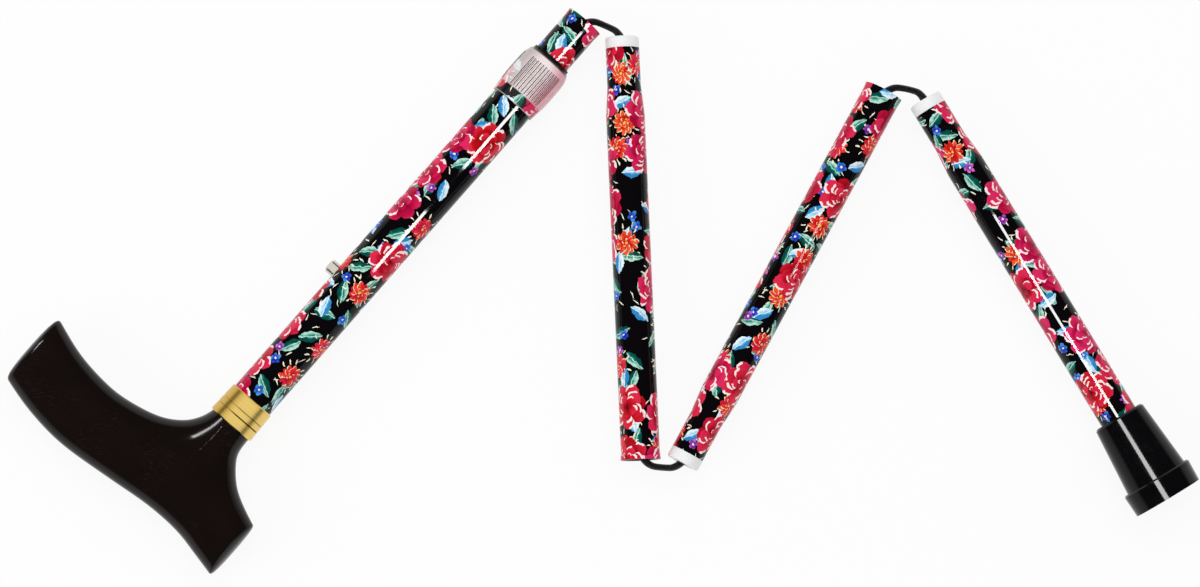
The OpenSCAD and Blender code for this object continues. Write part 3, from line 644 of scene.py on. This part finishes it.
# floor: white to the camera and in reflections, with the object's shadow kept
paper = {"size": 12, "tone": "#f0f0f0", "rough": 0.9, "plainWhite": 0.9}
deselectAll()
bpy.ops.mesh.primitive_plane_add(size=paper["size"], location=(0, 0, 0))
floor = bpy.context.object
floor.name = "floor"
floorPaper, tree, sockets = newMaterial("whitePaper", **{"Base Color": linear(paper["tone"]),
                                                         "Roughness": paper["rough"]})
rays = addNode(tree, "LightPath", {})
seen = addNode(tree, "Math", {0: rays["Is Camera Ray"], 1: rays["Is Glossy Ray"]}, operation="MAXIMUM")[0]
seen = addNode(tree, "Math", {0: seen, 1: rays["Is Transmission Ray"]}, operation="MAXIMUM")[0]
part = addNode(tree, "Math", {0: seen, 1: paper["plainWhite"]}, operation="MULTIPLY")[0]
glow = addNode(tree, "Emission", {0: (1, 1, 1, 1), 1: 1.0})[0]
mixed = addNode(tree, "MixShader", {0: part, 1: tree.nodes["Principled BSDF"].outputs[0], 2: glow})[0]
tree.links.new(mixed, tree.nodes["Material Output"].inputs[0])
coat(floor.data, floorPaper)

# world: white to the camera, white walls and a dark ceiling in reflections, a plain level for the rest
studio = {"wallsTo": 0.22, "ceiling": 0.03, "level": 0.5}
world = bpy.data.worlds.new("studio")
scene.world = world
world.use_nodes = True
tree = world.node_tree
rays = addNode(tree, "LightPath", {})
up = addNode(tree, "SeparateXYZ", {0: addNode(tree, "TexCoord", {})["Generated"]})[2]
walls = addNode(tree, "MapRange", {0: up, 1: 0.0, 2: studio["wallsTo"], 3: 1.0, 4: studio["ceiling"]})[0]
level = addNode(tree, "Mix", {0: rays["Is Glossy Ray"], 2: studio["level"], 3: walls})[0]
seen = addNode(tree, "Math", {0: rays["Is Camera Ray"], 1: rays["Is Transmission Ray"]}, operation="MAXIMUM")[0]
strength = addNode(tree, "Mix", {0: seen, 2: level, 3: 1.0})[0]
tree.nodes["Background"].inputs[0].default_value = (1, 1, 1, 1)
tree.links.new(strength, tree.nodes["Background"].inputs[1])


# lamps: soft ones light the colours; the others are seen only in the gloss of a few pieces, as highlights
def areaLamp(name, at, to, size, radiance, along=(1, 0, 0), gloss=None):
    deselectAll()
    bpy.ops.object.light_add(type="AREA", location=at)
    lamp = bpy.context.object
    lamp.name = name
    lamp.data.shape = "RECTANGLE"
    lamp.data.size, lamp.data.size_y = size
    lamp.data.energy = radiance * math.pi * size[0] * size[1]
    depth = (Vector(at) - Vector(to)).normalized()
    side = Vector(along) - Vector(along).dot(depth) * depth
    side.normalize()
    lamp.rotation_euler = Matrix((side, depth.cross(side), depth)).transposed().to_euler()
    lamp.visible_glossy, lamp.visible_diffuse = bool(gloss), not gloss
    if gloss:
        lamp.light_linking.receiver_collection = bpy.data.collections.new(name)
        for obj in gloss:
            lamp.light_linking.receiver_collection.objects.link(obj)


def streakLamp(name, tube, radius, side, run, width, radiance, pieces, height=0.5):
    # a strip set where a tube mirrors it to the camera at one side of its top, from run[0] to run[1] along it
    right = Vector((tube["way"].y, -tube["way"].x, 0))
    normal = side * right + math.sqrt(1 - side * side) * zUp
    spots, lit = [], []
    for s in run:
        spot = tube["start"] + s * mm * tube["way"] + radius * mm * normal
        toCamera = (scene.camera.location - spot).normalized()
        spots.append(spot)
        lit.append(spot + height * (2 * toCamera.dot(normal) * normal - toCamera))
    strip = lit[1] - lit[0]
    areaLamp(name, (lit[0] + lit[1]) / 2, (spots[0] + spots[1]) / 2, (strip.length, 2 * width / radius * height),
             radiance, strip, [nodes[p] for p in pieces])


areaLamp("softTop", (0.1, 0.35, 1.7), (0, 0, 0), (1.6, 1.2), 2.65)
areaLamp("softLeft", (-1.5, -0.5, 1.0), (0, 0, 0), (1.0, 1.0), 2.55)
areaLamp("metalCeiling", (-0.1, 0, 1.2), (-0.1, 0, 0), (3.5, 3.5), 0.95,
         gloss=[nodes["brass_collar"], nodes["snap_button"], nodes["lock_ring"]])
areaLamp("handleBox", (-0.47, 0.265, 0.46), (-0.22, -0.06, 0.02), (0.24, 0.08), 30, gloss=[handleGrip])
streakLamp("upperNear", upper, 11.1, 0.35, (102, 140), 1.5, 66, ["outer_tube"])
streakLamp("upperFar", upper, 11.1, 0.35, (168, 256), 1.5, 66, ["outer_tube", "inner_tube"])
streakLamp("thirdFaint", tubes["section3"], 9.5, 0.35, (104, 136), 1.0, 16, ["tube_3"])
streakLamp("lastLong", last, 9.5, 0.17, (66, 256), 1.2, 62, ["tube_4"])
streakLamp("tipDim", last, 9.5, 0.17, (66, 285), 1.2, 40, ["rubber_tip"])
print("stage and lamps set")
